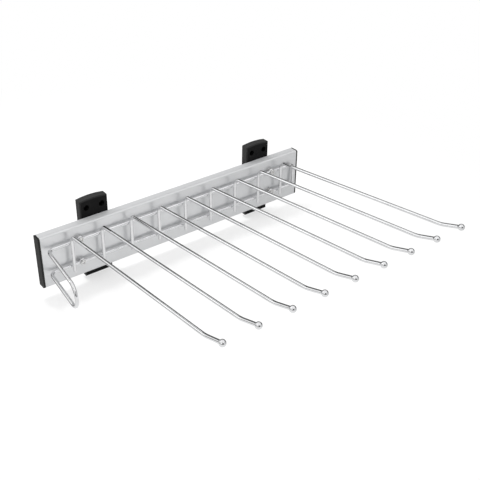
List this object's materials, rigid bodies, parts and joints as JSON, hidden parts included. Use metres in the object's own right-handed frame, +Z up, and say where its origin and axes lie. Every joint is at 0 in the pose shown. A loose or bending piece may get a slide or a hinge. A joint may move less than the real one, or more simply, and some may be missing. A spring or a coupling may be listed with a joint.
{
  "type": "pull out trouser rack",
  "caption": "Side-mounted trouser rack: a chromed wire frame of sloping arms on a flat aluminium rail that pulls out of the wardrobe on a ball slide.",
  "frame": {"origin": "on the side panel, midway between the front bracket's two screw holes", "axes": "+X away from the side panel along the trouser arms, +Y along the rail into the wardrobe, +Z up; the rack pulls out along -Y"},
  "size_m": [0.3813, 0.4608, 0.1429],
  "materials": {
    "bracket_plastic": "fine textured black moulding",
    "cap_plastic": "satin black moulding",
    "spacer_steel": "zinc plated sleeve",
    "anodised_aluminium": "satin natural anodised, brushed along the rail",
    "chromed_wire": "bright chrome plating",
    "chromed_balls": "bright chrome plating",
    "slide_steel": "bright zinc plated cold rolled steel",
    "plated_screws": "zinc plated",
    "frame_screw_steel": "nickel plated",
    "ball_steel": "polished bearing steel",
    "cage_plastic": "natural acetal",
    "bumper_rubber": "soft black"
  },
  "bodies": {
    "panel_side": {"front_bracket": "bracket_plastic", "rear_bracket": "bracket_plastic", "bracket_screws": "plated_screws", "outer_member": "slide_steel", "outer_bumper": "bumper_rubber"},
    "outer_cage": {"outer_ball_cage": "cage_plastic", "outer_balls": "ball_steel"},
    "slide_middle": {"middle_member": "slide_steel", "middle_bumper": "bumper_rubber"},
    "inner_cage": {"inner_ball_cage": "cage_plastic", "inner_balls": "ball_steel"},
    "carriage": {"inner_member": "slide_steel", "inner_member_screws": "plated_screws", "cover_profile": "anodised_aluminium", "front_end_cap": "cap_plastic", "rear_end_cap": "cap_plastic", "wire_frame": "chromed_wire", "frame_spacers": "spacer_steel", "frame_screws": "frame_screw_steel", "trouser_arm_1": "chromed_wire", "trouser_arm_2": "chromed_wire", "trouser_arm_3": "chromed_wire", "trouser_arm_4": "chromed_wire", "trouser_arm_5": "chromed_wire", "trouser_arm_6": "chromed_wire", "trouser_arm_7": "chromed_wire", "trouser_arm_8": "chromed_wire", "trouser_arm_9": "chromed_wire", "tip_balls": "chromed_balls"}
  },
  "joints": [
    {"name": "slide_pull", "type": "slide", "parent": "panel_side", "child": "slide_middle", "axis": [0, -1, 0], "range_m": [0, 0.21]},
    {"name": "carriage_pull", "type": "slide", "parent": "slide_middle", "child": "carriage", "axis": [0, -1, 0], "range_m": [0, 0.21]},
    {"name": "outer_cage_roll", "type": "slide", "parent": "panel_side", "child": "outer_cage", "axis": [0, -1, 0], "range_m": [0, 0.105]},
    {"name": "inner_cage_roll", "type": "slide", "parent": "slide_middle", "child": "inner_cage", "axis": [0, -1, 0], "range_m": [0, 0.105]}
  ],
  "couplings": [
    {"joint": "carriage_pull", "follows": "slide_pull", "ratio": 1},
    {"joint": "outer_cage_roll", "follows": "slide_pull", "ratio": 0.5},
    {"joint": "inner_cage_roll", "follows": "slide_pull", "ratio": 0.5}
  ]
}
